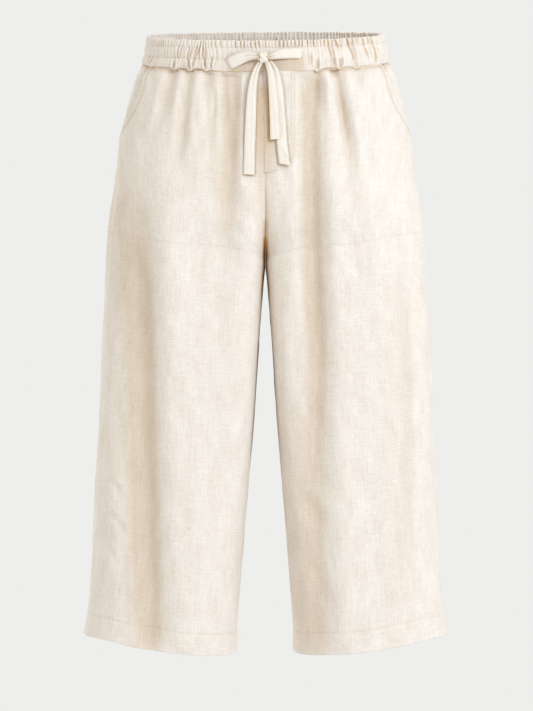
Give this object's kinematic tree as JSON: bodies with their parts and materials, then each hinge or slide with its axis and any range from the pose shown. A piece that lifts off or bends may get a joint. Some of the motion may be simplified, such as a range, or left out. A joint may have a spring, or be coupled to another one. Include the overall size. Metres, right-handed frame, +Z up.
{
  "type": "three-quarter-length wide-leg trousers",
  "caption": "Three-quarter-length wide-leg linen trousers with a gathered elastic waist, drawstring, slanted pockets and turned-up hems, filled out and empty.",
  "frame": {"origin": "middle of the waist opening, at the height of the waistband's middle at its sides", "axes": "+Z up along the garment, -Y towards its front, +X towards the wearer's left"},
  "size_m": [0.467, 0.2453, 0.8191],
  "materials": {
    "linen": "washed plain-weave linen, matt, warm off-white",
    "tape": "flat linen tape, matt, a little whiter than the cloth"
  },
  "bodies": {
    "root": {"waistband_front": "linen", "waistband_back": "linen", "front_left": "linen", "front_right": "linen", "back_left": "linen", "back_right": "linen", "pocket_facing_left": "linen", "pocket_facing_right": "linen", "fly": "linen", "hem_turnup_left": "linen", "hem_turnup_right": "linen", "drawstring_knot": "tape", "drawstring_run_left": "tape", "drawstring_run_right": "tape", "drawstring_tail_left": "tape", "drawstring_tail_middle": "tape", "drawstring_tail_right": "tape"}
  },
  "joints": []
}
